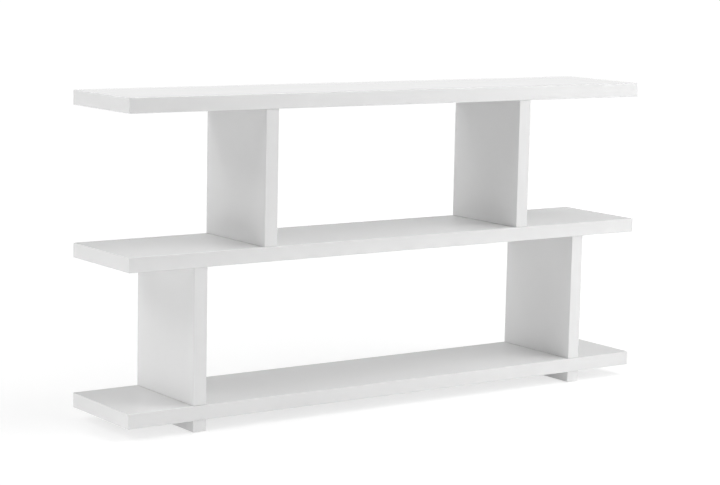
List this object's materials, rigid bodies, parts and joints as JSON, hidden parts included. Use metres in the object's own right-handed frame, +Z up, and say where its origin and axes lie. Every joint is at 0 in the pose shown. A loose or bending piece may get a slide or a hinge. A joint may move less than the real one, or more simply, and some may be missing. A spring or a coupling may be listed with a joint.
{
  "type": "console table",
  "caption": "Long narrow open console table in white gloss lacquer: equal shelves, set-in panel uprights wider apart in the lower storey, and low rail feet.",
  "frame": {"origin": "on the floor, under the centre of the table", "axes": "+X along the length towards the right end as seen from the front, +Y towards the back, +Z up; the front looks along -Y"},
  "size_m": [1.5, 0.267, 0.774],
  "materials": {
    "white_lacquer": "white high-gloss lacquer on smooth fibreboard",
    "zinc_fitting": "bright zinc plated",
    "dowel_beech": "raw beech",
    "glide_plastic": "fine matt",
    "cap_plastic": "glossy white"
  },
  "bodies": {
    "root": {"top_shelf": "white_lacquer", "middle_shelf": "white_lacquer", "bottom_shelf": "white_lacquer", "upper_left_upright": "white_lacquer", "upper_left_top_dowel": "dowel_beech", "upper_left_top_front_cam": "zinc_fitting", "upper_left_top_front_cam_bolt": "zinc_fitting", "upper_left_top_rear_cam": "zinc_fitting", "upper_left_top_rear_cam_bolt": "zinc_fitting", "upper_left_bottom_dowel": "dowel_beech", "upper_left_bottom_front_cam": "zinc_fitting", "upper_left_bottom_front_cam_bolt": "zinc_fitting", "upper_left_bottom_rear_cam": "zinc_fitting", "upper_left_bottom_rear_cam_bolt": "zinc_fitting", "upper_right_upright": "white_lacquer", "upper_right_top_dowel": "dowel_beech", "upper_right_top_front_cam": "zinc_fitting", "upper_right_top_front_cam_bolt": "zinc_fitting", "upper_right_top_rear_cam": "zinc_fitting", "upper_right_top_rear_cam_bolt": "zinc_fitting", "upper_right_bottom_dowel": "dowel_beech", "upper_right_bottom_front_cam": "zinc_fitting", "upper_right_bottom_front_cam_bolt": "zinc_fitting", "upper_right_bottom_rear_cam": "zinc_fitting", "upper_right_bottom_rear_cam_bolt": "zinc_fitting", "lower_left_upright": "white_lacquer", "lower_left_top_dowel": "dowel_beech", "lower_left_top_front_cam": "zinc_fitting", "lower_left_top_front_cam_bolt": "zinc_fitting", "lower_left_top_rear_cam": "zinc_fitting", "lower_left_top_rear_cam_bolt": "zinc_fitting", "lower_left_bottom_dowel": "dowel_beech", "lower_left_bottom_front_cam": "zinc_fitting", "lower_left_bottom_front_cam_bolt": "zinc_fitting", "lower_left_bottom_rear_cam": "zinc_fitting", "lower_left_bottom_rear_cam_bolt": "zinc_fitting", "lower_right_upright": "white_lacquer", "lower_right_top_dowel": "dowel_beech", "lower_right_top_front_cam": "zinc_fitting", "lower_right_top_front_cam_bolt": "zinc_fitting", "lower_right_top_rear_cam": "zinc_fitting", "lower_right_top_rear_cam_bolt": "zinc_fitting", "lower_right_bottom_dowel": "dowel_beech", "lower_right_bottom_front_cam": "zinc_fitting", "lower_right_bottom_front_cam_bolt": "zinc_fitting", "lower_right_bottom_rear_cam": "zinc_fitting", "lower_right_bottom_rear_cam_bolt": "zinc_fitting", "left_foot_rail": "white_lacquer", "left_front_foot_screw": "zinc_fitting", "left_front_glide": "glide_plastic", "left_rear_foot_screw": "zinc_fitting", "left_rear_glide": "glide_plastic", "right_foot_rail": "white_lacquer", "right_front_foot_screw": "zinc_fitting", "right_front_glide": "glide_plastic", "right_rear_foot_screw": "zinc_fitting", "right_rear_glide": "glide_plastic"}
  },
  "joints": []
}
